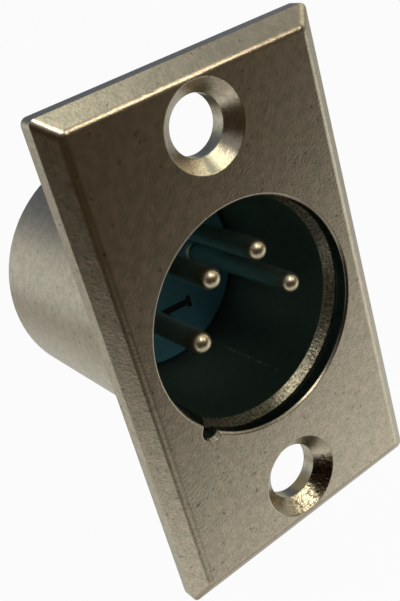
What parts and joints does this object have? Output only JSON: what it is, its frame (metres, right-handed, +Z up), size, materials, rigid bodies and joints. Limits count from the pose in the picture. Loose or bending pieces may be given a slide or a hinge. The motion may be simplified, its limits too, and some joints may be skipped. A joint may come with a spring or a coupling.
{
  "type": "xlr panel connector",
  "caption": "Male audio connector for panel mounting: bevelled rectangular flange with countersunk holes, round barrel, keyed bore with round pins, solder cups behind.",
  "frame": {"origin": "on the barrel's axis, in the rear face of the flange, which meets the panel", "axes": "+X to the right of the front face, +Y back through the panel along the barrel, +Z up along the flange's long side"},
  "size_m": [0.0222, 0.0259, 0.0378],
  "materials": {
    "shell_nickel": "satin nickel plating on a die casting",
    "insert_plastic": "moulded, dark teal",
    "contact_silver": "turned brass, silver plated",
    "tab_tinned": "pressed strip, tinned",
    "screw_steel": "turned steel"
  },
  "bodies": {
    "root": {"shell": "shell_nickel", "insert_front": "insert_plastic", "insert_rear": "insert_plastic", "ground_tab": "tab_tinned", "lock_screw": "screw_steel", "contact_1": "contact_silver", "contact_2": "contact_silver", "contact_3": "contact_silver", "contact_4": "contact_silver"}
  },
  "joints": []
}
